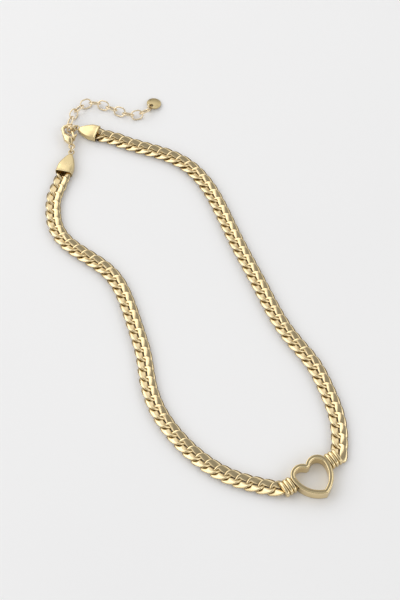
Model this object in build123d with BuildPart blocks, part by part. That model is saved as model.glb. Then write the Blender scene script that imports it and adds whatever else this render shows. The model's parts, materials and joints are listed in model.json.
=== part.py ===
from build123d import *
import math
import os

# Pendant necklace lying closed on a flat surface: an open heart between two ribbed connectors,
# two lengths of flat curb chain, end caps, a lobster clasp, and an extender chain with a round tag.
# The frame stands on the surface, +Z up, with its origin under the middle of the whole necklace.

# ---- driving dimensions, millimetres ----
LINK_WIDTH = 6.0
CHAIN_THICK = 2.6
CHAIN_Z = CHAIN_THICK / 2  # height of the chain's middle when it lies down

FLANK_WIDTH = 1.4  # the two long sides of a curb link
FLANK_THICK = 0.75
FLANK_SLOPE = 0.34  # rise per millimetre, so that each flank lies over the next one
BAR_LENGTH = 0.85  # the two ends of a link, measured along the chain
BAR_THICK = 0.70
BAR_MIDDLE = 2.725  # from the link's middle to the middle of an end
LINK_HALF = BAR_MIDDLE + BAR_LENGTH / 2
CORNER_CUT = 1.0

HEART_THICK = 4.1
HEART_BAND = 1.7
HEART_RIM = 0.4  # bevel of the rims
HEART_NOTCH_ROUND = 0.05
LOBE_RADIUS = 4.3
LOBE_OFFSET = 3.2
LOBE_DROP = 3.1  # lobe centres below the notch line
HEART_HALF = LOBE_OFFSET + LOBE_RADIUS
HEART_DROP = 13.5  # from the notch line to the tip
FLANK_RADIUS = (HEART_HALF**2 + (HEART_DROP - LOBE_DROP) ** 2) / (2 * HEART_HALF)
HEART_NOTCH = Vector(40.5, -76.5)
HEART_TURN = -56.7  # direction from notch to tip, degrees

CONNECTOR_LENGTH = 4.4
CONNECTOR_WIDTH = 6.2
CONNECTOR_THICK = 4.0
CONNECTOR_DROP = 3.4  # below the notch line
RIB_COUNT = 3

CAP_WIDTH = 6.8
CAP_THICK = 3.5
CAP_TIP_WIDTH = 2.2
CAP_TIP_THICK = 2.3
CAP_WALL = 0.3
CAP_GRIP = 3.3  # how far the last link reaches in
EYELET_RADIUS = 1.25
EYELET_HOLE = 0.80
EYELET_THICK = 0.70
EYELET_Z = 2.1

CLASP_EYE_RADIUS = 1.35
CLASP_EYE_THICK = 0.90
CLASP_THROAT = 1.2  # half of the throat's width, and the bend's inner radius
CLASP_ARM = 1.1
CLASP_THICK = 1.2
CLASP_BODY_THICK = 2.5
CLASP_BEND = 8.7  # from the eye to the middle of the hook's bend
CLASP_NOSE = 7.6  # where the hook's nose meets the trigger
CLASP_TURN = 104.9  # direction from eye to hook, degrees
CLASP_Z = 2.45
CLASP_EYE = (-47.30, 63.00)
TRIGGER_PIVOT = (3.5, -1.45)
TRIGGER_THICK = 1.2
RIVET_RADIUS = 0.35
TRIGGER_BORE = 0.39

# a jump ring crosses the hook's throat and one cap's eyelet, a smaller one the other eyelet and
# the clasp's own eye
RIGHT_RING_WIRE = 0.70
RIGHT_RING_RADIUS = 1.90
RIGHT_RING_MIDDLE = (-47.63, 72.01)
RIGHT_RING_TURN = 20.7  # direction from throat to eyelet, degrees
RIGHT_RING_Z = 2.30
LEFT_RING_WIRE = 0.60
LEFT_RING_RADIUS = 1.35
LEFT_RING_LEAN = 25.0
LEFT_EYELET = (-47.35, 60.30)

EXTENDER_WIRE = 0.60
EXTENDER_LENGTH = 5.2
EXTENDER_WIDTH = 4.1

TAG_RADIUS = 2.9
TAG_THICK = 0.7
TAG_HOLE = 0.75
TAG_HOLE_OFFSET = 1.75
TAG_RING_RADIUS = 1.35
TAG_RING_WIRE = 0.50

# ---- the lie of the chain, seen from above: routes from the heart to the end caps ----
LEFT_ROUTE = [
    (31.2, -85.0),
    (23.3, -83.4),
    (14.9, -80.6),
    (5.0, -74.5),
    (-3.7, -65.8),
    (-10.6, -55.6),
    (-14.7, -44.1),
    (-16.7, -32.1),
    (-19.9, -20.5),
    (-23.7, -8.6),
    (-29.6, 2.9),
    (-42.5, 13.6),
    (-48.9, 19.6),
    (-53.0, 30.5),
    (-53.1, 38.9),
    (-49.9, 50.2),
]
RIGHT_ROUTE = [
    (52.8, -70.8),
    (53.2, -63.1),
    (52.2, -55.0),
    (49.8, -47.0),
    (44.8, -35.1),
    (37.6, -24.6),
    (31.6, -13.8),
    (26.6, -2.2),
    (21.6, 9.3),
    (16.7, 20.9),
    (12.2, 32.4),
    (6.9, 44.0),
    (-3.5, 56.2),
    (-11.2, 60.3),
    (-19.9, 63.4),
    (-28.6, 66.8),
    (-37.3, 69.9),
]
LEFT_START = (-1.0, 0.12)
RIGHT_START = (0.10, 1.0)
LEFT_LINKS = 43
RIGHT_LINKS = 44

# links in each jointed length of chain, counted from the heart
LEFT_GROUPS = [3, 3, 2, 2, 3, 2, 3, 2, 3, 2, 3, 2, 3, 2, 3, 2, 3]
RIGHT_GROUPS = [3, 3, 2, 3, 3, 2, 3, 2, 3, 2, 3, 2, 3, 2, 3, 2, 3]

# the extender's links from the clasp to the tag: middle, turn about the upright, tip of the
# far end downwards, and roll about the link's own length, in degrees
EXTENDER_PLACES = [
    (-49.09, 72.75, 1.09, 65.8, -18.2, -5.9),
    (-48.48, 76.29, 1.70, 81.5, -1.4, -51.0),
    (-47.30, 79.90, 1.73, 64.5, 0, 52.3),
    (-45.40, 83.10, 1.46, 50.0, 0, -40),
    (-42.60, 85.50, 1.46, 23.6, 0, 40),
    (-39.00, 85.90, 1.46, -6.4, 0, -40),
    (-35.50, 84.70, 1.46, -22.1, 0, 40),
    (-32.10, 83.10, 1.46, -25.7, 0, -40),
    (-28.75, 81.45, 1.46, -23.8, 0, 40),
    (-25.30, 80.10, 1.46, -13.5, 0, -40),
    (-21.65, 79.75, 1.46, 12.0, 0, 40),
    (-18.50, 81.55, 1.49, 29.7, 0, -40.9),
]
TAG_RING_PLACE = (-16.65, 83.53, 1.55, 73.1, -5.5, 71.6)
TAG_PLACE = (-14.90, 86.19, 0.82, 56.3, 8.5, 0)


def route_places(points, count, start, end):
    """Places of a chain's links, evenly spaced along a smooth route, each turned along it."""
    route = Spline(*[(x, y, CHAIN_Z) for x, y in points], tangents=[(*start, 0), (*end, 0)])
    places = []
    for number in range(count):
        share = number / (count - 1)
        middle = route @ share
        along = route % share
        places.append(Plane(origin=middle, x_dir=along, z_dir=(0, 0, 1)))
    return places


def turned_place(x, y, z, turn, tip, roll):
    """A place turned about the upright, then tipped, then rolled about its own length."""
    return Pos(x, y, z) * Rot(0, 0, turn) * Rot(0, tip, 0) * Rot(roll, 0, 0)


def heart_point(across, down, height=0.0):
    """A point given in the heart's own directions: across its width, and down to its tip."""
    turn = math.radians(HEART_TURN)
    to_tip = Vector(math.cos(turn), math.sin(turn))
    to_right = Vector(-math.sin(turn), math.cos(turn))
    spot = HEART_NOTCH + to_right * across + to_tip * down
    return Vector(spot.X, spot.Y, height)


def heart_plane(height):
    """The heart's own plane: local X across it, local Y from tip to notch."""
    across = heart_point(1, 0) - heart_point(0, 0)
    return Plane(origin=heart_point(0, 0, height), x_dir=across, z_dir=(0, 0, 1))


def save(part, name):
    part.label = name
    export_step(part, f"parts/{name}.step")


os.makedirs("parts", exist_ok=True)

# ---- one curb link, its length along X ----
with BuildPart() as curb_link:
    reach = LINK_HALF
    for side in (1, -1):
        rise = -side * FLANK_SLOPE * reach
        half = FLANK_THICK / 2
        inner = LINK_WIDTH / 2 - FLANK_WIDTH
        with BuildSketch(Plane.XZ.offset(-inner if side > 0 else inner + FLANK_WIDTH)):
            with BuildLine():
                Polyline(
                    (-reach, -rise - half),
                    (reach, rise - half),
                    (reach, rise + half),
                    (-reach, -rise + half),
                    close=True,
                )
            make_face()
        extrude(amount=-FLANK_WIDTH)
    bar_slope = FLANK_SLOPE * BAR_MIDDLE / (LINK_WIDTH / 2 - FLANK_WIDTH / 2)
    for side in (1, -1):
        reach_y = LINK_WIDTH / 2 - 0.1
        rise = -side * bar_slope * reach_y
        half = BAR_THICK / 2
        with BuildSketch(Plane.YZ.offset(side * BAR_MIDDLE - BAR_LENGTH / 2)):
            with BuildLine():
                Polyline(
                    (-reach_y, -rise - half),
                    (reach_y, rise - half),
                    (reach_y, rise + half),
                    (-reach_y, -rise + half),
                    close=True,
                )
            make_face()
        extrude(amount=BAR_LENGTH)
    with BuildSketch(Plane.XY.offset(-CHAIN_Z)):
        Rectangle(2 * LINK_HALF, LINK_WIDTH)
        chamfer(vertices(), CORNER_CUT)
    extrude(amount=CHAIN_THICK, mode=Mode.INTERSECT)


def chain_side(side, points, count, groups, start, end):
    """Write one side's lengths of chain, each a group of separate links."""
    places = route_places(points, count, start, end)
    first = 0
    for number, size in enumerate(groups, start=1):
        with BuildPart() as chain_length:
            for place in places[first : first + size]:
                with Locations(place):
                    add(curb_link.part)
        save(chain_length.part, f"chain_{side}_{number:02d}")
        first += size
    return places


ring_turn = math.radians(RIGHT_RING_TURN)
right_eyelet = (
    RIGHT_RING_MIDDLE[0] + RIGHT_RING_RADIUS * math.cos(ring_turn),
    RIGHT_RING_MIDDLE[1] + RIGHT_RING_RADIUS * math.sin(ring_turn),
)
left_end = (LEFT_EYELET[0] - LEFT_ROUTE[-1][0], LEFT_EYELET[1] - LEFT_ROUTE[-1][1])
right_end = (right_eyelet[0] - RIGHT_ROUTE[-1][0], right_eyelet[1] - RIGHT_ROUTE[-1][1])
left_places = chain_side("left", LEFT_ROUTE, LEFT_LINKS, LEFT_GROUPS, LEFT_START, left_end)
right_places = chain_side(
    "right", RIGHT_ROUTE, RIGHT_LINKS, RIGHT_GROUPS, RIGHT_START, right_end
)

# ---- heart: an open band with rounded rims ----
def heart_outline(inset):
    """The heart's outline moved inwards by inset, drawn as one half and mirrored."""
    notch_y = math.sqrt(LOBE_RADIUS**2 - LOBE_OFFSET**2) - LOBE_DROP
    lobe = LOBE_RADIUS - inset
    flank = FLANK_RADIUS - inset
    flank_x = HEART_HALF - FLANK_RADIUS
    toward_lobe = math.atan2(-LOBE_DROP - notch_y, LOBE_OFFSET)
    start = (inset * math.cos(toward_lobe), notch_y + inset * math.sin(toward_lobe))
    widest = (HEART_HALF - inset, -LOBE_DROP)
    to_tip = -math.acos(-flank_x / flank)
    middle = (toward_lobe - math.pi / 2) / 2
    ThreePointArc(
        (0, notch_y - inset),
        (inset * math.cos(middle), notch_y + inset * math.sin(middle)),
        start,
    )
    ThreePointArc(start, (LOBE_OFFSET, lobe - LOBE_DROP), widest)
    ThreePointArc(
        widest,
        (flank_x + flank * math.cos(to_tip / 2), -LOBE_DROP + flank * math.sin(to_tip / 2)),
        (0, -LOBE_DROP + flank * math.sin(to_tip)),
    )
    mirror(about=Plane.YZ)


rim_levels = [
    (0, HEART_RIM),
    (HEART_RIM, 0),
    (HEART_THICK - HEART_RIM, 0),
    (HEART_THICK, HEART_RIM),
]
with BuildPart() as heart:
    for mode in (Mode.ADD, Mode.SUBTRACT):
        for lower, upper in zip(rim_levels, rim_levels[1:]):
            for height, inset in (lower, upper):
                with BuildSketch(heart_plane(height)):
                    with BuildLine():
                        heart_outline(
                            inset + HEART_NOTCH_ROUND if mode == Mode.ADD else HEART_BAND - inset
                        )
                    make_face()
            loft(mode=mode)
save(heart.part, "heart")


# ---- ribbed connectors between the heart's sides and the chain ----
def connector(side, hand, first_link):
    """A ribbed barrel soldered to the heart, hollow where the first link is held."""
    start = HEART_HALF - 0.02
    across = heart_point(hand, 0) - heart_point(0, 0)
    foot = heart_point(hand * start, CONNECTOR_DROP, CONNECTOR_THICK / 2)
    section = Plane(origin=foot, x_dir=(0, 0, 1), z_dir=across)
    rib = CONNECTOR_LENGTH / RIB_COUNT
    with BuildPart() as barrel:
        with BuildSketch(section):
            RectangleRounded(CONNECTOR_THICK - 0.7, CONNECTOR_WIDTH - 0.7, 1.0)
        extrude(amount=CONNECTOR_LENGTH)
        for number in range(RIB_COUNT):
            with BuildSketch(section.offset(rib * (number + 0.14))):
                RectangleRounded(CONNECTOR_THICK, CONNECTOR_WIDTH, 1.2)
            extrude(amount=rib * 0.72)
        # room for the first link's end, turned the way the link lies
        with Locations(first_link):
            Box(2 * LINK_HALF + 0.5, LINK_WIDTH + 0.4, CHAIN_THICK + 0.3, mode=Mode.SUBTRACT)
    save(barrel.part, f"connector_{side}")


connector("left", -1, left_places[0])
connector("right", 1, right_places[0])


# ---- end caps ----
def end_cap(side, last_link, eyelet):
    """A tapered cap that holds the last link and ends in an eyelet for a jump ring."""
    mouth = last_link.origin
    reach = Vector(*eyelet, 0) - Vector(mouth.X, mouth.Y, 0)
    length = reach.length - EYELET_RADIUS + 0.3
    level = Plane(origin=(mouth.X, mouth.Y, 0), x_dir=reach, z_dir=(0, 0, 1))
    upright = Plane(origin=(mouth.X, mouth.Y, 0), x_dir=reach, z_dir=level.y_dir * -1)
    wide = CAP_WIDTH / 2
    narrow = CAP_TIP_WIDTH / 2
    with BuildPart() as cap:
        with BuildSketch(level):
            with BuildLine():
                Line((0, -wide), (0, wide))
                Line((0, wide), (0.35 * length, wide))
                Spline(
                    (0.35 * length, wide),
                    (0.72 * length, 0.66 * wide),
                    (length, narrow),
                    tangents=[(1, 0), (1, -0.55)],
                )
                Line((length, narrow), (length, -narrow))
                Spline(
                    (0.35 * length, -wide),
                    (0.72 * length, -0.66 * wide),
                    (length, -narrow),
                    tangents=[(1, 0), (1, 0.55)],
                )
                Line((0.35 * length, -wide), (0, -wide))
            make_face()
        extrude(amount=CAP_THICK)
        with BuildSketch(upright):
            with BuildLine():
                Polyline(
                    (0, 0),
                    (length, 0.15),
                    (length, CAP_TIP_THICK),
                    (0.3 * length, CAP_THICK),
                    (0, CAP_THICK),
                    close=True,
                )
            make_face()
        extrude(amount=CAP_WIDTH, both=True, mode=Mode.INTERSECT)
        # the folded sheet is open underneath, with room for the last link
        with BuildSketch(level):
            with Locations((CAP_GRIP / 2, 0)):
                Rectangle(CAP_GRIP, CAP_WIDTH - 2 * CAP_WALL)
        extrude(amount=CHAIN_THICK + 0.15, mode=Mode.SUBTRACT)
        with BuildSketch(Plane.XY.offset(EYELET_Z - EYELET_THICK / 2)):
            with Locations(eyelet):
                Circle(EYELET_RADIUS)
        extrude(amount=EYELET_THICK)
        with BuildSketch(Plane.XY.offset(EYELET_Z - EYELET_THICK)):
            with Locations(eyelet):
                Circle(EYELET_HOLE)
        extrude(amount=2 * EYELET_THICK, mode=Mode.SUBTRACT)
    save(cap.part, f"end_cap_{side}")


end_cap("left", left_places[-1], LEFT_EYELET)
end_cap("right", right_places[-1], right_eyelet)

# ---- lobster clasp, laid out from its eye with local X towards the hook ----
clasp_turn = math.radians(CLASP_TURN)
CLASP_X = Vector(math.cos(clasp_turn), math.sin(clasp_turn), 0)


def clasp_plane(height=0.0):
    """The clasp's own level, raised by height."""
    return Plane(origin=(*CLASP_EYE, CLASP_Z + height), x_dir=CLASP_X, z_dir=(0, 0, 1))


outer = CLASP_THROAT + CLASP_ARM
with BuildPart() as clasp_body:
    with BuildSketch(clasp_plane(-CLASP_EYE_THICK / 2)):
        Circle(CLASP_EYE_RADIUS)
        with Locations((1.6, 0)):
            Rectangle(1.8, 1.5)
    extrude(amount=CLASP_EYE_THICK)
    with BuildSketch(clasp_plane(-CLASP_EYE_THICK)):
        Circle(EYELET_HOLE)
    extrude(amount=2 * CLASP_EYE_THICK, mode=Mode.SUBTRACT)
    # the hook: two arms, a bend round the end and a nose
    with BuildSketch(clasp_plane(-CLASP_THICK / 2)):
        with BuildLine():
            Line((4.0, outer), (CLASP_BEND, outer))
            ThreePointArc((CLASP_BEND, outer), (CLASP_BEND + outer, 0), (CLASP_BEND, -outer))
            Line((CLASP_BEND, -outer), (CLASP_NOSE, -outer))
            Line((CLASP_NOSE, -outer), (CLASP_NOSE, -CLASP_THROAT))
            Line((CLASP_NOSE, -CLASP_THROAT), (CLASP_BEND, -CLASP_THROAT))
            ThreePointArc(
                (CLASP_BEND, -CLASP_THROAT),
                (CLASP_BEND + CLASP_THROAT, 0),
                (CLASP_BEND, CLASP_THROAT),
            )
            Line((CLASP_BEND, CLASP_THROAT), (4.0, CLASP_THROAT))
            Line((4.0, CLASP_THROAT), (4.0, outer))
        make_face()
    extrude(amount=CLASP_THICK)
    # the thick shoulder that holds the spring and the trigger's rivet
    with BuildSketch(clasp_plane(-CLASP_BODY_THICK / 2)):
        with BuildLine():
            Spline(
                (1.55, 0.8),
                (3.0, 1.95),
                (5.2, outer),
                tangents=[(0.6, 1), (1, 0)],
            )
            Line((5.2, outer), (4.9, -0.5))
            Line((4.9, -0.5), (4.3, -outer))
            Line((4.3, -outer), (2.9, -outer + 0.05))
            Line((2.9, -outer + 0.05), (1.55, -0.8))
            Line((1.55, -0.8), (1.55, 0.8))
        make_face()
    extrude(amount=CLASP_BODY_THICK)
    # slot for the trigger's root and its spring
    with BuildSketch(clasp_plane(-TRIGGER_THICK / 2 - 0.08)):
        with BuildLine():
            Polyline((2.2, -0.15), (5.6, -0.15), (5.6, -3.0), (2.2, -3.0), close=True)
        make_face()
    extrude(amount=TRIGGER_THICK + 0.16, mode=Mode.SUBTRACT)
    with BuildSketch(clasp_plane(-CLASP_BODY_THICK)):
        with Locations(TRIGGER_PIVOT):
            Circle(RIVET_RADIUS)
    extrude(amount=2 * CLASP_BODY_THICK, mode=Mode.SUBTRACT)
save(clasp_body.part, "clasp_body")

with BuildPart() as clasp_rivet:
    with BuildSketch(clasp_plane(-CLASP_BODY_THICK / 2)):
        with Locations(TRIGGER_PIVOT):
            Circle(RIVET_RADIUS)
    extrude(amount=CLASP_BODY_THICK)
save(clasp_rivet.part, "clasp_rivet")

with BuildPart() as clasp_trigger:
    with BuildSketch(clasp_plane(-TRIGGER_THICK / 2)):
        with BuildLine():
            Polyline(
                (CLASP_NOSE - 0.1, -outer + 0.05),
                (CLASP_NOSE - 0.1, -CLASP_THROAT - 0.05),
                (4.6, -CLASP_THROAT + 0.35),
                (3.1, -CLASP_THROAT + 0.35),
                (2.95, -outer + 0.2),
                (4.4, -outer + 0.05),
                (4.9, -outer - 0.75),
                (5.6, -outer - 0.75),
                (5.9, -outer + 0.05),
                close=True,
            )
        make_face()
        with Locations(TRIGGER_PIVOT):
            Circle(TRIGGER_BORE, mode=Mode.SUBTRACT)
    extrude(amount=TRIGGER_THICK)
save(clasp_trigger.part, "clasp_trigger")

# a leaf spring between the shoulder and the trigger's root
with BuildPart() as clasp_spring:
    with BuildSketch(clasp_plane(-0.45)):
        with BuildLine():
            Polyline((2.35, -0.2), (4.75, -0.2), (4.75, -0.38), (2.35, -0.38), close=True)
        make_face()
    extrude(amount=0.9)
save(clasp_spring.part, "clasp_spring")


# ---- jump rings ----
def jump_ring(name, place, radius, wire):
    """A round wire ring lying in the place's own plane."""
    with BuildPart() as ring:
        with Locations(place):
            Torus(radius, wire / 2)
    save(ring.part, name)


ring_along = Vector(math.cos(ring_turn), math.sin(ring_turn), 0)
ring_place = Plane(
    origin=(*RIGHT_RING_MIDDLE, RIGHT_RING_Z),
    x_dir=ring_along,
    z_dir=ring_along.cross(Vector(0, 0, 1)),
)
jump_ring("right_jump_ring", ring_place, RIGHT_RING_RADIUS, RIGHT_RING_WIRE)

left_along = Vector(CLASP_EYE[0] - LEFT_EYELET[0], CLASP_EYE[1] - LEFT_EYELET[1], 0)
left_lean = math.radians(LEFT_RING_LEAN)
left_upward = Vector(left_along.Y, -left_along.X, 0).normalized() * math.sin(left_lean)
left_upward += Vector(0, 0, math.cos(left_lean))
left_place = Plane(
    origin=(
        (CLASP_EYE[0] + LEFT_EYELET[0]) / 2,
        (CLASP_EYE[1] + LEFT_EYELET[1]) / 2,
        (CLASP_Z + EYELET_Z) / 2,
    ),
    x_dir=left_along,
    z_dir=left_along.cross(left_upward),
)
jump_ring("left_jump_ring", left_place, LEFT_RING_RADIUS, LEFT_RING_WIRE)

# ---- extender chain ----
with BuildPart() as extender_link:
    bend = (EXTENDER_WIDTH - EXTENDER_WIRE) / 2
    straight = (EXTENDER_LENGTH - EXTENDER_WIDTH) / 2
    with BuildLine() as loop:
        Line((-straight, bend), (straight, bend))
        ThreePointArc((straight, bend), (straight + bend, 0), (straight, -bend))
        Line((straight, -bend), (-straight, -bend))
        ThreePointArc((-straight, -bend), (-straight - bend, 0), (-straight, bend))
    with BuildSketch(Plane(origin=(-straight, bend, 0), z_dir=(1, 0, 0))):
        Circle(EXTENDER_WIRE / 2)
    sweep(path=loop.wire())

for number, numbers in enumerate(EXTENDER_PLACES, start=1):
    link_place = turned_place(*numbers)
    with BuildPart() as link:
        with Locations(link_place):
            add(extender_link.part)
    save(link.part, f"extender_link_{number:02d}")

# ---- tag and its ring ----
jump_ring("tag_ring", turned_place(*TAG_RING_PLACE), TAG_RING_RADIUS, TAG_RING_WIRE)
tag_plane = Plane(turned_place(*TAG_PLACE))
with BuildPart() as tag:
    with BuildSketch(tag_plane.offset(-TAG_THICK / 2)):
        Circle(TAG_RADIUS)
        with Locations((-TAG_HOLE_OFFSET, 0)):
            Circle(TAG_HOLE, mode=Mode.SUBTRACT)
    extrude(amount=TAG_THICK)
    chamfer(edges().filter_by(GeomType.CIRCLE).group_by(SortBy.RADIUS)[-1], 0.12)
save(tag.part, "extender_tag")
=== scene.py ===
import json
import math

import bmesh
import bpy
import numpy as np
from mathutils import Matrix, Vector


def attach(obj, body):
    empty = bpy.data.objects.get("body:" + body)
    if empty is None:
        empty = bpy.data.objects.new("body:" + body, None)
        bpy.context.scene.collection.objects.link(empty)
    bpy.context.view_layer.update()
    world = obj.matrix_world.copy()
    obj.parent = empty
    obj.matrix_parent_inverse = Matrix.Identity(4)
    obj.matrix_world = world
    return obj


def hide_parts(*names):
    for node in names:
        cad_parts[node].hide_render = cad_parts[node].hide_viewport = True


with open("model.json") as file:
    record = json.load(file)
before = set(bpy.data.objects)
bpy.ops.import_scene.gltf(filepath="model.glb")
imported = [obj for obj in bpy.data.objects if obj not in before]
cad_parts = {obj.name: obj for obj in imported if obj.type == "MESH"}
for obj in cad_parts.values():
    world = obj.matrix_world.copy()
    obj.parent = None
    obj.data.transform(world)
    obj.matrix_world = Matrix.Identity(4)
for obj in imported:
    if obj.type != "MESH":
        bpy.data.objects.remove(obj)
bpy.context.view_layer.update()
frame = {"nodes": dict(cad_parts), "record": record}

MM = 0.001

# ---- sizes of the real pieces, millimetres ----
CHAIN_THICK = 2.6
LINK_HALF_X, LINK_HALF_Y = 2.62, 1.60  # the link's middle line
LINK_TWIST = 0.195  # rise per square millimetre, so that each side lies over the next link's
RIDGE = 2.2  # the twist levels off towards the rims
LINK_SLANT = 0.45  # how far each side leans along the chain, per millimetre across it
LINK_WIRE_HALF, FLANK_HALF, BAR_HALF = 0.55, 1.42, 0.60
HEART_NOTCH = Vector((40.5, -76.5))
HEART_TURN = math.radians(-56.7)
HEART_THICK, HEART_BAND = 4.1, 1.7
LOBE_RADIUS, LOBE_OFFSET, LOBE_DROP = 4.3, 3.2, 3.1
HEART_HALF, HEART_DROP = 7.5, 13.5
FLANK_RADIUS = (HEART_HALF**2 + (HEART_DROP - LOBE_DROP) ** 2) / (2 * HEART_HALF)
CONNECTOR_LENGTH, CONNECTOR_WIDTH, CONNECTOR_THICK, CONNECTOR_DROP = 4.4, 6.2, 4.0, 3.4
CAP_WIDTH, CAP_THICK = 6.8, 3.5
CAP_TIP_HALF, CAP_TIP_TOP = 0.9, 2.2
EYELET_RADIUS, EYELET_WIRE_HALF = 1.02, 0.26
CLASP_EYE, CLASP_Z, CLASP_TURN = (-47.30, 63.00), 2.45, math.radians(104.9)
THROAT, ARM, BEND, NOSE = 1.2, 1.1, 8.7, 7.6
LEFT_EYELET, EYELET_Z = (-47.35, 60.30), 2.1
RIGHT_RING_MIDDLE, RIGHT_RING_TURN, RIGHT_RING_Z = (-47.63, 72.01), math.radians(20.7), 2.30
RIGHT_RING_RADIUS, RIGHT_RING_WIRE_HALF = 1.9, 0.35
LEFT_RING_RADIUS, LEFT_RING_WIRE_HALF, LEFT_RING_LEAN = 1.35, 0.30, math.radians(25)
EXTENDER_LENGTH, EXTENDER_WIDTH, EXTENDER_WIRE = 5.2, 4.1, 0.6
# each link's middle, then its turn, tip and roll in degrees
EXTENDER_PLACES = [
    (-49.09, 72.75, 1.09, 65.8, -18.2, -5.9),
    (-48.48, 76.29, 1.70, 81.5, -1.4, -51.0),
    (-47.30, 79.90, 1.73, 64.5, 0, 52.3),
    (-45.40, 83.10, 1.46, 50.0, 0, -40),
    (-42.60, 85.50, 1.46, 23.6, 0, 40),
    (-39.00, 85.90, 1.46, -6.4, 0, -40),
    (-35.50, 84.70, 1.46, -22.1, 0, 40),
    (-32.10, 83.10, 1.46, -25.7, 0, -40),
    (-28.75, 81.45, 1.46, -23.8, 0, 40),
    (-25.30, 80.10, 1.46, -13.5, 0, -40),
    (-21.65, 79.75, 1.46, 12.0, 0, 40),
    (-18.50, 81.55, 1.49, 29.7, 0, -40.9),
]
TAG_RING_RADIUS, TAG_RING_WIRE_HALF = 1.35, 0.25
TAG_RADIUS, TAG_HOLE, TAG_HOLE_OFFSET, TAG_HALF = 2.9, 0.75, 1.75, 0.35
TAG_RING_PLACE = (-16.65, 83.53, 1.55, 73.1, -5.5, 71.6)
TAG_PLACE = (-14.90, 86.19, 0.82, 56.3, 8.5, 0)


# ---- materials ----
def gold(name, base, shade_colour, rough, scratch, worn=0.25):
    """Polished plated metal: uneven polish, fine rubbing marks, and painted shade that darkens
    the colour in the hollows ambient occlusion finds.
    """
    material = bpy.data.materials.new(name)
    material.use_nodes = True
    nodes, links = material.node_tree.nodes, material.node_tree.links
    shader = nodes["Principled BSDF"]
    shader.inputs["Metallic"].default_value = 1.0
    place = nodes.new("ShaderNodeTexCoord")
    cloud = nodes.new("ShaderNodeTexNoise")
    cloud.inputs["Scale"].default_value = 420.0
    cloud.inputs["Detail"].default_value = 5.0
    links.new(place.outputs["Object"], cloud.inputs["Vector"])
    # painted shade: ambient occlusion blends the base colour towards the dark second colour in
    # crevices and between touching parts
    occlusion = nodes.new("ShaderNodeAmbientOcclusion")
    occlusion.samples = 6
    occlusion.inputs["Distance"].default_value = 0.0009
    painted_shade_mask = nodes.new("ShaderNodeMapRange")
    painted_shade_mask.inputs["From Min"].default_value = 0.30
    painted_shade_mask.inputs["From Max"].default_value = 0.92
    links.new(occlusion.outputs["AO"], painted_shade_mask.inputs["Value"])
    painted_shade_mix = nodes.new("ShaderNodeMix")
    painted_shade_mix.data_type = "RGBA"
    painted_shade_mix.inputs["A"].default_value = (*shade_colour, 1)
    painted_shade_mix.inputs["B"].default_value = (*base, 1)
    links.new(painted_shade_mask.outputs["Result"], painted_shade_mix.inputs["Factor"])
    patch = nodes.new("ShaderNodeMix")
    patch.data_type = "RGBA"
    patch.blend_type = "MULTIPLY"
    patch.inputs["B"].default_value = (0.93, 0.90, 0.84, 1)
    blotch = nodes.new("ShaderNodeMapRange")
    blotch.inputs["From Min"].default_value = 0.4
    blotch.inputs["From Max"].default_value = 0.75
    blotch.inputs["To Max"].default_value = worn * 2
    links.new(cloud.outputs["Fac"], blotch.inputs["Value"])
    links.new(blotch.outputs["Result"], patch.inputs["Factor"])
    links.new(painted_shade_mix.outputs["Result"], patch.inputs["A"])
    links.new(patch.outputs["Result"], shader.inputs["Base Color"])
    polish = nodes.new("ShaderNodeMapRange")
    polish.inputs["From Min"].default_value = 0.3
    polish.inputs["From Max"].default_value = 0.7
    polish.inputs["To Min"].default_value = rough * 0.75
    polish.inputs["To Max"].default_value = rough * 1.4
    links.new(cloud.outputs["Fac"], polish.inputs["Value"])
    links.new(polish.outputs["Result"], shader.inputs["Roughness"])
    marks = nodes.new("ShaderNodeTexNoise")
    marks.inputs["Scale"].default_value = 1500.0
    marks.inputs["Detail"].default_value = 3.0
    links.new(place.outputs["Object"], marks.inputs["Vector"])
    bump = nodes.new("ShaderNodeBump")
    bump.inputs["Strength"].default_value = scratch
    bump.inputs["Distance"].default_value = 0.00005
    links.new(marks.outputs["Fac"], bump.inputs["Height"])
    links.new(bump.outputs["Normal"], shader.inputs["Normal"])
    return material


# each material's second colour is the painted shade used in its hollows
PLATE = gold("gold_plate", (0.84, 0.68, 0.405), (0.20, 0.13, 0.04), 0.19, 0.10)
HEART_GOLD = gold("heart_gold", (0.85, 0.69, 0.40), (0.30, 0.20, 0.06), 0.11, 0.05)
CAP_GOLD = gold("cap_gold", (0.74, 0.60, 0.33), (0.34, 0.24, 0.09), 0.30, 0.06, 0.1)
WIRE = gold("pale_wire", (0.90, 0.76, 0.53), (0.55, 0.40, 0.20), 0.22, 0.2)
TAG_GOLD = gold("tag_gold", (0.66, 0.53, 0.28), (0.30, 0.22, 0.10), 0.30, 0.3)
STEEL = gold("spring_steel", (0.60, 0.58, 0.54), (0.2, 0.2, 0.2), 0.35, 0.4)


# ---- mesh helpers ----
def body_of_node(node):
    for body, nodes in frame["record"]["behaviour"]["bodies"].items():
        if node in nodes:
            return body
    raise KeyError(node)


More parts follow.
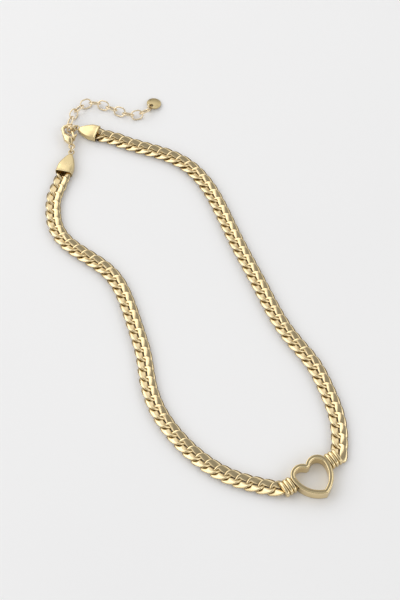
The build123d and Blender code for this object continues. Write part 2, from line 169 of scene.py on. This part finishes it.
class Mesher:
    """Gathers rings of points in millimetres into one smooth mesh."""

    def __init__(self):
        self.points, self.faces = [], []

    def tube(self, rings, closed=True, ends=True):
        """Skin a run of equal rings of points; closed joins the last ring to the first."""
        rings = [np.asarray(r, float) for r in rings]
        size, base = len(rings[0]), len(self.points)
        for r in rings:
            self.points.extend(map(tuple, r))
        count = len(rings)
        for i in range(count if closed else count - 1):
            a, b = base + i * size, base + ((i + 1) % count) * size
            for k in range(size):
                n = (k + 1) % size
                self.faces.append((a + k, a + n, b + n, b + k))
        if not closed and ends:
            for ring, flip in ((0, True), (count - 1, False)):
                middle = len(self.points)
                self.points.append(tuple(rings[ring].mean(0)))
                start = base + ring * size
                for k in range(size):
                    n = (k + 1) % size
                    face = (start + k, start + n, middle)
                    self.faces.append(face[::-1] if flip else face)

    def add(self, points, faces):
        base = len(self.points)
        self.points.extend(map(tuple, points))
        self.faces.extend(tuple(base + i for i in face) for face in faces)

    def make(self, name, node, material, slot, sharp=None):
        """One object in metres that stands for the CAD node and rides on its body."""
        body = body_of_node(node)
        mesh = bpy.data.meshes.new(name)
        mesh.from_pydata([tuple(c * MM for c in p) for p in self.points], [], self.faces)
        work = bmesh.new()
        work.from_mesh(mesh)
        bmesh.ops.remove_doubles(work, verts=work.verts, dist=1e-7)
        bmesh.ops.recalc_face_normals(work, faces=work.faces)
        for face in work.faces:
            face.smooth = True
        if sharp:
            for edge in work.edges:
                if len(edge.link_faces) == 2 and edge.calc_face_angle(0) > math.radians(sharp):
                    edge.smooth = False
        work.to_mesh(mesh)
        work.free()
        mesh.materials.append(material)
        piece = bpy.data.objects.new(name, mesh)
        bpy.context.scene.collection.objects.link(piece)
        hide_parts(node)
        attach(piece, body)
        return piece


def power(value, exponent):
    """A power that keeps the sign."""
    return math.copysign(abs(value) ** exponent, value)


def section(half_wide, half_high, squareness, count):
    """Points of a rounded rectangle-like section, across and up."""
    out = []
    for k in range(count):
        angle = 2 * math.pi * k / count
        out.append(
            (
                half_wide * power(math.cos(angle), squareness),
                half_high * power(math.sin(angle), squareness),
            )
        )
    return out


def turned(place):
    """A place turned about the upright, then tipped, then rolled about its own length."""
    x, y, z, turn, tip, roll = place
    spin = [math.radians(v) for v in (turn, tip, roll)]
    return (
        Matrix.Translation((x, y, z))
        @ Matrix.Rotation(spin[0], 4, "Z")
        @ Matrix.Rotation(spin[1], 4, "Y")
        @ Matrix.Rotation(spin[2], 4, "X")
    )


def moved(points, matrix):
    return [tuple(matrix @ Vector(p)) for p in points]


# ---- curb links ----
def curb_link():
    """A twisted link of broad domed wire, its length along X; neighbours overlap like scales."""
    steps, around = 112, 24
    centres = []
    for i in range(steps):
        angle = 2 * math.pi * i / steps
        x = LINK_HALF_X * power(math.cos(angle), 0.74)
        y = LINK_HALF_Y * power(math.sin(angle), 0.74)
        centres.append((x, y))
    centres = np.array(centres)
    ahead = np.roll(centres, -1, 0) - np.roll(centres, 1, 0)
    rings = []
    for (x, y), (dx, dy) in zip(centres, ahead):
        out = Vector((dy, -dx, 0)).normalized()
        flank = (abs(y) / LINK_HALF_Y) ** 1.5
        wide = BAR_HALF + (FLANK_HALF - BAR_HALF) * flank
        ring = []
        for across, up in section(wide, LINK_WIRE_HALF, 0.9, around):
            p = Vector((x, y, 0)) + out * across
            level = -LINK_TWIST * p.x * RIDGE * math.tanh(p.y / RIDGE)
            edge = max(0.0, abs(p.y) - 1.6)
            p.z = level + up - 0.12 * edge * edge * (1 if up > 0 else -1)
            p.x += LINK_SLANT * p.y
            ring.append(tuple(p))
        rings.append(ring)
    mesher = Mesher()
    mesher.tube(rings)
    return mesher


def loose_middles(obj):
    """Middles of the separate solids of one CAD node, in millimetres."""
    work = bmesh.new()
    work.from_mesh(obj.data)
    work.transform(obj.matrix_world)
    bmesh.ops.remove_doubles(work, verts=work.verts, dist=1e-7)
    left, out = set(work.verts), []
    while left:
        seed = left.pop()
        group, todo = [seed], [seed]
        while todo:
            for edge in todo.pop().link_edges:
                for vert in edge.verts:
                    if vert in left:
                        left.remove(vert)
                        group.append(vert)
                        todo.append(vert)
        low = [min(v.co[k] for v in group) for k in range(3)]
        high = [max(v.co[k] for v in group) for k in range(3)]
        out.append((Vector(low) + Vector(high)) / 2 / MM)
    work.free()
    return out


def chain_places(side):
    """Each link's node and middle, from the heart outwards."""
    out = []
    at = Vector((*HEART_NOTCH, CHAIN_THICK / 2))
    for number in range(1, 100):
        node = f"chain_{side}_{number:02d}"
        if node not in frame["nodes"]:
            break
        middles = loose_middles(frame["nodes"][node])
        while middles:
            nearest = min(middles, key=lambda m: (m - at).length)
            middles.remove(nearest)
            out.append((node, nearest))
            at = nearest
    return out


link_shape = curb_link()
chain_ends = {}
for side in ("left", "right"):
    places = chain_places(side)
    pieces = {}
    for i, (node, middle) in enumerate(places):
        before = places[max(i - 1, 0)][1]
        after = places[min(i + 1, len(places) - 1)][1]
        along = (after - before).to_2d().normalized()
        spin = Matrix.Translation((middle.x, middle.y, middle.z)) @ Matrix.Rotation(
            math.atan2(along.y, along.x), 4, "Z"
        )
        pieces.setdefault(node, Mesher()).add(moved(link_shape.points, spin), link_shape.faces)
    for node, mesher in pieces.items():
        mesher.make(node + "_links", node, PLATE, "gold_plate")
    chain_ends[side] = places


# ---- heart ----
def to_heart(across, down):
    """A point on the table, given across the heart's width and down to its tip."""
    to_tip = Vector((math.cos(HEART_TURN), math.sin(HEART_TURN)))
    to_right = Vector((-to_tip.y, to_tip.x))
    return HEART_NOTCH + to_right * across + to_tip * down


def heart_half(inset):
    """Points of the right half of the outline moved inwards, from notch to tip."""
    notch_steps, arc_steps = 6, 34
    notch = math.sqrt(LOBE_RADIUS**2 - LOBE_OFFSET**2) - LOBE_DROP
    lobe, flank = LOBE_RADIUS - inset, FLANK_RADIUS - inset
    toward = math.atan2(-LOBE_DROP - notch, LOBE_OFFSET)
    points = []
    for k in range(notch_steps):
        angle = -math.pi / 2 + (toward + math.pi / 2) * k / notch_steps
        points.append((inset * math.cos(angle), notch + inset * math.sin(angle)))
    first = toward + math.pi
    for k in range(arc_steps):
        angle = first * (1 - k / arc_steps)
        points.append((LOBE_OFFSET + lobe * math.cos(angle), -LOBE_DROP + lobe * math.sin(angle)))
    tip = -math.acos((FLANK_RADIUS - HEART_HALF) / flank)
    for k in range(arc_steps + 1):
        angle = tip * k / arc_steps
        points.append(
            (
                HEART_HALF - FLANK_RADIUS + flank * math.cos(angle),
                -LOBE_DROP + flank * math.sin(angle),
            )
        )
    return points


def heart_ring(inset, height):
    """The whole outline, moved inwards, at one height."""
    half = heart_half(inset)
    loop = half + [(-x, y) for x, y in half[-2:0:-1]]
    out = []
    for x, y in loop:
        spot = to_heart(x, -y)
        out.append((spot.x, spot.y, height))
    return out


heart = Mesher()
rim, dish, rings = 0.36, 0.10, []
corners = [
    (0.30, 0.30, 0.30, math.pi, 1.5 * math.pi),
    (HEART_BAND - 0.30, 0.30, 0.30, 1.5 * math.pi, 2 * math.pi),
    (HEART_BAND - rim, HEART_THICK - rim, rim, 0, 0.6 * math.pi),
    (HEART_BAND / 2, HEART_THICK - dish, 0.0, 0, 0),
    (rim, HEART_THICK - rim, rim, 0.4 * math.pi, math.pi),
]
for across, up, radius, first, last in corners:
    for k in range(9 if radius else 1):
        angle = first + (last - first) * k / 8
        inset = across + radius * math.cos(angle)
        rings.append(heart_ring(max(inset, 0.03), up + radius * math.sin(angle)))
heart.tube(rings)
heart.make("heart_band", "heart", HEART_GOLD, "gold_plate", sharp=60)


# ---- ribbed connectors ----
for side, hand in (("left", -1), ("right", 1)):
    barrel, rings = Mesher(), []
    across = (to_heart(hand, 0) - to_heart(0, 0)).to_3d()
    down = (to_heart(0, 1) - to_heart(0, 0)).to_3d()
    foot = to_heart(hand * (HEART_HALF - 0.35), CONNECTOR_DROP).to_3d()
    steps = 90
    length = CONNECTOR_LENGTH + 0.33
    for k in range(steps + 1):
        along = length * k / steps
        phase = max(0.0, along - 0.35) / CONNECTOR_LENGTH * 3
        swell = math.sqrt(1 - (2 * (phase % 1.0) - 1) ** 2)
        size = 0.70 + 0.30 * swell
        middle = foot + across * along + Vector((0, 0, CONNECTOR_THICK / 2))
        ring = []
        for wide, high in section(
            CONNECTOR_WIDTH / 2 * (0.5 + 0.5 * size) * (0.92 + 0.08 * swell),
            CONNECTOR_THICK / 2 * size,
            0.7,
            40,
        ):
            ring.append(tuple(middle + down * wide + Vector((0, 0, high))))
        rings.append(ring)
    barrel.tube(rings, closed=False)
    barrel.make(
        f"connector_{side}_barrel",
        f"connector_{side}",
        HEART_GOLD,
        "gold_plate",
        sharp=70,
    )


def torus(mesher, matrix, radius, wire, flat=1.0, steps=48, around=14):
    """A ring of round wire; wire is half its thickness, and flat stretches it upwards."""
    rings = []
    for i in range(steps):
        a = 2 * math.pi * i / steps
        ring = []
        for k in range(around):
            b = 2 * math.pi * k / around
            r = radius + wire * math.cos(b)
            ring.append((r * math.cos(a), r * math.sin(a), wire * flat * math.sin(b)))
        rings.append(moved(ring, matrix))
    mesher.tube(rings)


# ---- end caps ----
right_eyelet = (
    RIGHT_RING_MIDDLE[0] + RIGHT_RING_RADIUS * math.cos(RIGHT_RING_TURN),
    RIGHT_RING_MIDDLE[1] + RIGHT_RING_RADIUS * math.sin(RIGHT_RING_TURN),
)
for side, eyelet in (("left", LEFT_EYELET), ("right", right_eyelet)):
    mouth = chain_ends[side][-1][1]
    reach = Vector(eyelet) - mouth.to_2d()
    length = reach.length - 1.25 + 0.25
    level = Matrix.Translation((mouth.x, mouth.y, 0)) @ Matrix.Rotation(
        math.atan2(reach.y, reach.x), 4, "Z"
    )
    cap, rings = Mesher(), []

    def cap_ring(along):
        """One ring of the cap's shell, from its mouth at 0 to its tip."""
        share = max(0.0, min(1.0, along / length))
        taper = max(0.0, (share - 0.3) / 0.7)
        wide = CAP_WIDTH / 2 - (CAP_WIDTH / 2 - CAP_TIP_HALF) * taper**1.6
        top = CAP_THICK - (CAP_THICK - CAP_TIP_TOP) * max(0.0, (share - 0.25) / 0.75) ** 1.3
        low = 0.02 + 0.13 * share
        ring = []
        for across, up in section(wide, (top - low) / 2, 0.42, 44):
            ring.append((along, across, (top + low) / 2 + up))
        return ring

    inner = [(x, y * 0.9, 1.7 + (z - 1.7) * 0.84) for x, y, z in cap_ring(0)]
    rings.append([(2.6, y * 0.95, 1.7 + (z - 1.7) * 0.95) for x, y, z in inner])
    rings.append([(0.1, y, z) for x, y, z in inner])
    rings.append([(-0.12, y * 0.96, 1.75 + (z - 1.75) * 0.95) for x, y, z in cap_ring(0)])
    rings.append(cap_ring(0.02))
    for along in (0.25, 0.42):
        rings.append([(along, y, z) for x, y, z in cap_ring(0)])
    rings.append([(0.5, y * 0.975, 1.75 + (z - 1.75) * 0.965) for x, y, z in cap_ring(0)])
    for k in range(1, 25):
        along = 0.5 + (length - 0.5) * k / 24
        ring = cap_ring(along)
        rings.append([(x, y * 0.975, 1.75 + (z - 1.75) * 0.965) for x, y, z in ring])
    rings = [moved(r, level) for r in rings]
    cap.tube(rings, closed=False)
    torus(cap, Matrix.Translation((*eyelet, EYELET_Z)), EYELET_RADIUS, EYELET_WIRE_HALF, 1.2)
    cap.make(
        f"end_cap_{side}_shell",
        f"end_cap_{side}",
        CAP_GOLD,
        "gold_plate",
        sharp=50,
    )

# ---- lobster clasp ----
clasp_place = Matrix.Translation((*CLASP_EYE, CLASP_Z)) @ Matrix.Rotation(CLASP_TURN, 4, "Z")


def sweep(path, widths, heights, square=0.75, around=18):
    """Rings round a flat path, given half widths in its plane and half heights."""
    points = [Vector((x, y, 0)) for x, y in path]
    rings = []
    for i, p in enumerate(points):
        along = points[min(i + 1, len(points) - 1)] - points[max(i - 1, 0)]
        out = Vector((along.y, -along.x, 0)).normalized()
        ring = []
        for across, up in section(widths[i], heights[i], square, around):
            q = p + out * across
            ring.append((q.x, q.y, up))
        rings.append(ring)
    return rings


clasp = Mesher()
torus(clasp, clasp_place, 1.08, 0.28, 1.5)
mid = THROAT + ARM / 2
path, widths, heights = [], [], []
for k in range(10):
    path.append((3.6 + (BEND - 3.6) * k / 10, mid))
for k in range(25):
    angle = math.pi / 2 - math.pi * k / 24
    path.append((BEND + mid * math.cos(angle), mid * math.sin(angle)))
for k in range(1, 5):
    path.append((BEND + (NOSE + 0.05 - BEND) * k / 4, -mid))
for k in range(len(path)):
    share = k / (len(path) - 1)
    widths.append(ARM / 2 * (1.04 + 0.10 * math.sin(math.pi * share)))
    heights.append(0.72 - 0.12 * share)
clasp.tube([moved(r, clasp_place) for r in sweep(path, widths, heights)], closed=False)
# shoulder: a rounded drop that narrows into the long arm
rings = []
for k in range(41):
    share = k / 40
    along = 1.1 + (6.2 - 1.1) * share
    swell = math.sin(math.pi * min(1.0, share * 1.2) / 1.2 * 0.9) ** 0.7 if k else 0.0
    top = 0.5 + (THROAT + ARM + 0.1 - 0.5) * math.sin(min(1.0, share * 1.45) * math.pi / 2) ** 0.9
    low = -0.5 - 0.95 * math.sin(min(1.0, share * 1.7) * math.pi / 2)
    if share > 0.55:
        low += (THROAT + 1.35) * ((share - 0.55) / 0.45) ** 1.3
    ring = []
    for across, up in section((top - low) / 2, 0.5 + 0.75 * swell, 0.92, 28):
        ring.append((along, (top + low) / 2 + across, up))
    rings.append(moved(ring, clasp_place))
clasp.tube(rings, closed=False)
clasp.make("clasp_hook", "clasp_body", PLATE, "gold_plate", sharp=60)

trigger = Mesher()
# along, across, half width and half height: the lever, then its thumb piece
lever = [
    (2.95, -1.75, 0.30, 0.40),
    (3.60, -1.80, 0.50, 0.60),
    (4.40, -1.85, 0.55, 0.62),
    (5.40, -1.80, 0.52, 0.60),
    (6.40, -1.76, 0.48, 0.58),
    (7.00, -1.75, 0.48, 0.56),
    (7.50, -1.75, 0.46, 0.50),
]
thumb = [
    (4.50, -2.20, 0.50, 0.55),
    (4.85, -2.70, 0.42, 0.55),
    (5.25, -3.00, 0.34, 0.50),
    (5.60, -2.95, 0.20, 0.34),
]
for stations in (lever, thumb):
    xs, ys, widths, heights = zip(*stations)
    rings = sweep(list(zip(xs, ys)), widths, heights)
    trigger.tube([moved(r, clasp_place) for r in rings], closed=False)
trigger.make("clasp_lever", "clasp_trigger", PLATE, "gold_plate", sharp=60)


def round_bar(mesher, matrix, radius, low, high, dome=0.1):
    """A short upright bar with eased ends."""
    end, rings = radius * 0.7, []
    for z, r in ((low, end), (low + dome, radius), (high - dome, radius), (high, end)):
        angles = [2 * math.pi * k / 24 for k in range(24)]
        rings.append(moved([(r * math.cos(a), r * math.sin(a), z) for a in angles], matrix))
    mesher.tube(rings, closed=False)


rivet = Mesher()
round_bar(rivet, clasp_place @ Matrix.Translation((3.5, -1.45, 0)), 0.35, -1.24, 1.24)
rivet.make("clasp_pin", "clasp_rivet", PLATE, "gold_plate", sharp=60)
spring = Mesher()
leaf = [(2.4, -0.27), (3.0, -0.29), (3.8, -0.3), (4.7, -0.29)]
rings = sweep(leaf, [0.07] * 4, [0.44] * 4, 0.4, 12)
spring.tube([moved(r, clasp_place) for r in rings], closed=False)
spring.make("clasp_leaf", "clasp_spring", STEEL, "spring_steel", sharp=60)

# ---- jump rings ----
along = Vector((math.cos(RIGHT_RING_TURN), math.sin(RIGHT_RING_TURN), 0))


def frame_of(middle, x_dir, up):
    """The matrix of a ring that lies in the plane of x_dir and up."""
    x_dir = Vector(x_dir).normalized()
    normal = x_dir.cross(Vector(up)).normalized()
    y_dir = normal.cross(x_dir)
    spin = Matrix((x_dir, y_dir, normal)).transposed().to_4x4()
    return Matrix.Translation(middle) @ spin


ring = Mesher()
place = frame_of((*RIGHT_RING_MIDDLE, RIGHT_RING_Z), along, (0, 0, 1))
torus(ring, place, RIGHT_RING_RADIUS, RIGHT_RING_WIRE_HALF)
ring.make("right_ring_wire", "right_jump_ring", WIRE, "pale_gold_wire")
along = Vector((CLASP_EYE[0] - LEFT_EYELET[0], CLASP_EYE[1] - LEFT_EYELET[1], 0)).normalized()
up = Vector((along.y, -along.x, 0)) * math.sin(LEFT_RING_LEAN)
up += Vector((0, 0, math.cos(LEFT_RING_LEAN)))
middle = (
    (CLASP_EYE[0] + LEFT_EYELET[0]) / 2,
    (CLASP_EYE[1] + LEFT_EYELET[1]) / 2,
    (CLASP_Z + EYELET_Z) / 2,
)
ring = Mesher()
torus(ring, frame_of(middle, along, up), LEFT_RING_RADIUS, LEFT_RING_WIRE_HALF)
ring.make("left_ring_wire", "left_jump_ring", WIRE, "pale_gold_wire")

# ---- extender chain, its tag and their ring ----
for number, numbers in enumerate(EXTENDER_PLACES, start=1):
    link, rings = Mesher(), []
    bend = (EXTENDER_WIDTH - EXTENDER_WIRE) / 2
    straight = (EXTENDER_LENGTH - EXTENDER_WIDTH) / 2
    for k in range(64):
        angle = 2 * math.pi * k / 64
        x = bend * math.cos(angle) + math.copysign(straight, math.cos(angle))
        centre = Vector((x, bend * math.sin(angle), 0))
        out = Vector((math.cos(angle), math.sin(angle), 0))
        ring = []
        for j in range(12):
            turn = 2 * math.pi * j / 12
            rise = Vector((0, 0, EXTENDER_WIRE / 2 * math.sin(turn)))
            ring.append(tuple(centre + out * EXTENDER_WIRE / 2 * math.cos(turn) + rise))
        rings.append(moved(ring, turned(numbers)))
    link.tube(rings)
    node = f"extender_link_{number:02d}"
    link.make(node + "_wire", node, WIRE, "pale_gold_wire")
ring = Mesher()
torus(ring, turned(TAG_RING_PLACE), TAG_RING_RADIUS, TAG_RING_WIRE_HALF)
ring.make("tag_ring_wire", "tag_ring", WIRE, "pale_gold_wire")

tag = Mesher()
rings = []
# share of the way from the hole's edge to the rim, and height
outline = [(1.0, -0.22), (0.96, -TAG_HALF), (0.0, -TAG_HALF)]
outline += [(share, -height) for share, height in reversed(outline)]
for share, height in outline:
    ring = []
    for k in range(56):
        angle = 2 * math.pi * k / 56
        edge = Vector((TAG_RADIUS * math.cos(angle), TAG_RADIUS * math.sin(angle)))
        hole = Vector((TAG_HOLE * math.cos(angle) - TAG_HOLE_OFFSET, TAG_HOLE * math.sin(angle)))
        ring.append((*hole.lerp(edge, share), height))
    rings.append(moved(ring, turned(TAG_PLACE)))
tag.tube(rings)
tag.make("tag_disc", "extender_tag", TAG_GOLD, "tag_gold", sharp=60)

# ---- surface, light and camera ----
floor_mesh = bpy.data.meshes.new("surface")
reach = 20.0
floor_mesh.from_pydata(
    [(-reach, -reach, 0), (reach, -reach, 0), (reach, reach, 0), (-reach, reach, 0)],
    [],
    [(0, 1, 2, 3)],
)
floor = bpy.data.objects.new("surface", floor_mesh)
bpy.context.scene.collection.objects.link(floor)
paper = bpy.data.materials.new("paper")
paper.use_nodes = True
nodes, links = paper.node_tree.nodes, paper.node_tree.links
shader = nodes["Principled BSDF"]
shader.inputs["Roughness"].default_value = 0.7
shader.inputs["Specular IOR Level"].default_value = 0.2
place = nodes.new("ShaderNodeTexCoord")
grain = nodes.new("ShaderNodeTexNoise")
grain.inputs["Scale"].default_value = 9.0
links.new(place.outputs["Object"], grain.inputs["Vector"])
tone = nodes.new("ShaderNodeMix")
tone.data_type = "RGBA"
tone.inputs["A"].default_value = (0.88, 0.88, 0.885, 1)
tone.inputs["B"].default_value = (0.91, 0.91, 0.912, 1)
links.new(grain.outputs["Fac"], tone.inputs["Factor"])
links.new(tone.outputs["Result"], shader.inputs["Base Color"])
floor_mesh.materials.append(paper)

world = bpy.data.worlds.new("room")
bpy.context.scene.world = world
world.use_nodes = True
background = world.node_tree.nodes["Background"]
background.inputs["Strength"].default_value = 0.95
wn, wl = world.node_tree.nodes, world.node_tree.links
sky_place = wn.new("ShaderNodeTexCoord")
split = wn.new("ShaderNodeSeparateXYZ")
wl.new(sky_place.outputs["Generated"], split.inputs["Vector"])
ramp = wn.new("ShaderNodeValToRGB")
ramp.color_ramp.elements[0].position = 0.0
ramp.color_ramp.elements[0].color = (0.12, 0.11, 0.10, 1)
ramp.color_ramp.elements[1].position = 0.97
ramp.color_ramp.elements[1].color = (0.36, 0.36, 0.36, 1)
for position, level in ((0.2, 0.45), (0.34, 1.15), (0.64, 1.15), (0.80, 0.36)):
    ramp.color_ramp.elements.new(position).color = (level, level, level, 1)
wl.new(split.outputs["Z"], ramp.inputs["Fac"])
wl.new(ramp.outputs["Color"], background.inputs["Color"])


def softbox(name, spot, target, size, watts, colour):
    data = bpy.data.lights.new(name, "AREA")
    data.shape = "RECTANGLE"
    data.size, data.size_y = size
    data.energy = watts
    data.color = colour
    lamp = bpy.data.objects.new(name, data)
    lamp.location = spot
    lamp.rotation_euler = (Vector(target) - Vector(spot)).to_track_quat("-Z", "Y").to_euler()
    bpy.context.scene.collection.objects.link(lamp)


softbox("key", (-0.85, 0.55, 1.0), (0, 0, 0), (2.0, 1.5), 10.0, (1.0, 0.99, 0.975))
softbox("fill", (1.1, -0.3, 0.8), (0, 0, 0), (0.8, 0.8), 1.6, (0.98, 0.99, 1.0))

camera_data = bpy.data.cameras.new("camera")
camera_data.lens = 87.0
camera_data.sensor_width = 36.0
camera_data.clip_start = 0.01
camera = bpy.data.objects.new("camera", camera_data)
camera.location = (0.0039, -0.2917, 0.4638)
camera.rotation_euler = (
    (Vector((0.0039, -0.0074, 0)) - camera.location).to_track_quat("-Z", "Y").to_euler()
)
bpy.context.scene.collection.objects.link(camera)
bpy.context.scene.camera = camera

bpy.context.scene.view_settings.view_transform = "Standard"
